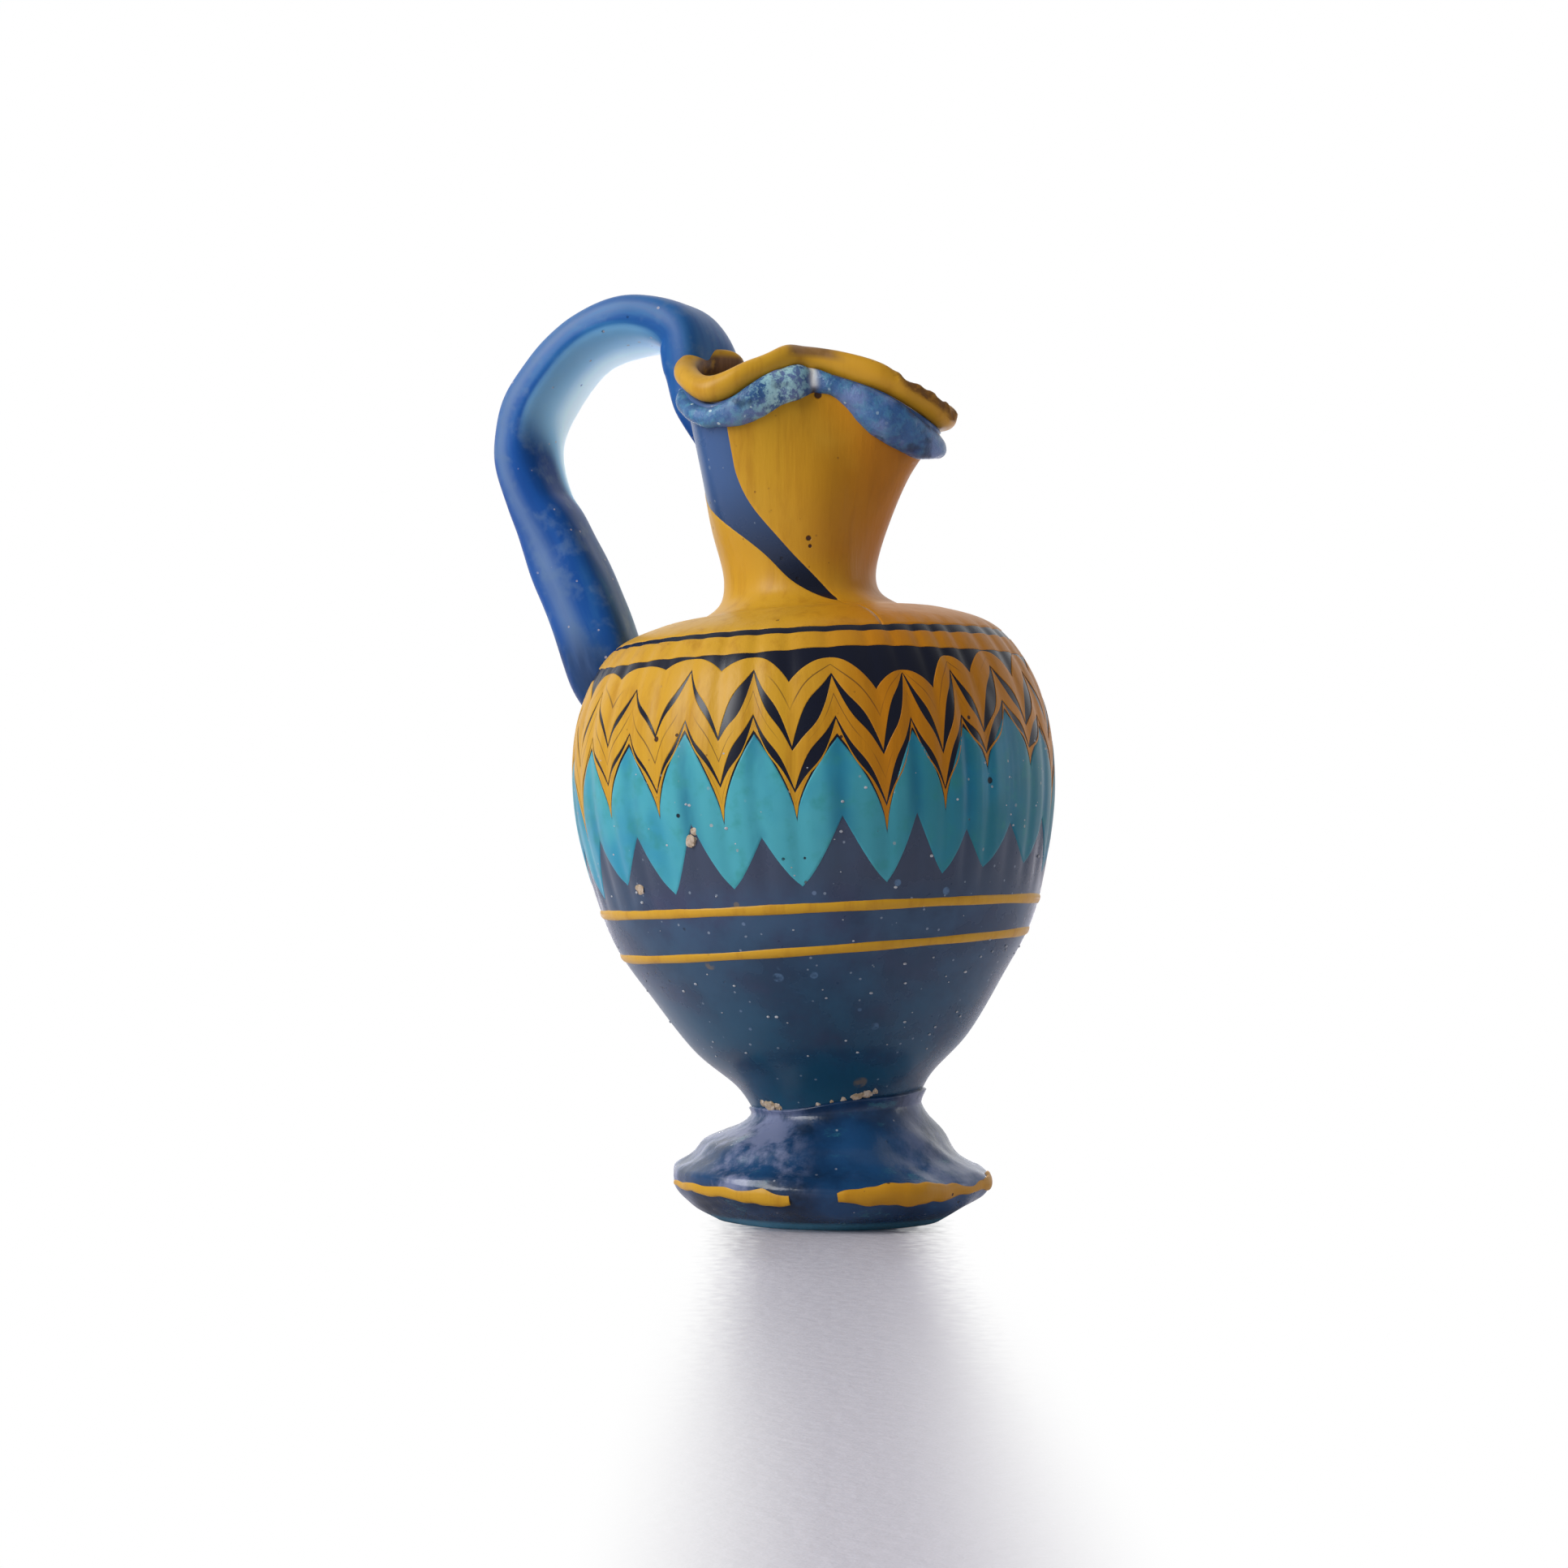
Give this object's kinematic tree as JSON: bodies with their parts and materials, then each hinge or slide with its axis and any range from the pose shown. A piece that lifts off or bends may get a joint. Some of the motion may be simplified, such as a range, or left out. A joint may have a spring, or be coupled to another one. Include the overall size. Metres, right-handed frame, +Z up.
{
  "type": "core-formed glass oinochoe",
  "caption": "Small core-formed glass jug with a trefoil mouth, a high strap handle, a pad foot and combed feather trails on a cobalt body.",
  "frame": {"origin": "centre of the foot's flat underside", "axes": "+Z up through the foot, -Y towards the viewer of the picture, +X to the right, where the spout is; the handle is on the -X side"},
  "size_m": [0.068, 0.0578, 0.1108],
  "materials": {
    "cobalt_glass": "glossy opaque cobalt glass, slightly weathered",
    "bright_blue_glass": "glossy bright blue glass",
    "yellow_glass": "satin opaque yellow glass",
    "turquoise_glass": "satin opaque turquoise glass"
  },
  "bodies": {
    "root": {"body": "cobalt_glass", "neck_wrap": "yellow_glass", "shoulder_ring": "yellow_glass", "feather_upper_yellow": "yellow_glass", "feather_middle_yellow": "yellow_glass", "feather_lower_yellow": "yellow_glass", "feather_turquoise": "turquoise_glass", "belly_thread": "yellow_glass", "rim_coil": "bright_blue_glass", "lip_trail": "yellow_glass", "handle": "bright_blue_glass", "foot": "cobalt_glass", "foot_edge_trail_1": "yellow_glass", "foot_edge_trail_2": "yellow_glass", "foot_edge_trail_3": "yellow_glass"}
  },
  "joints": []
}
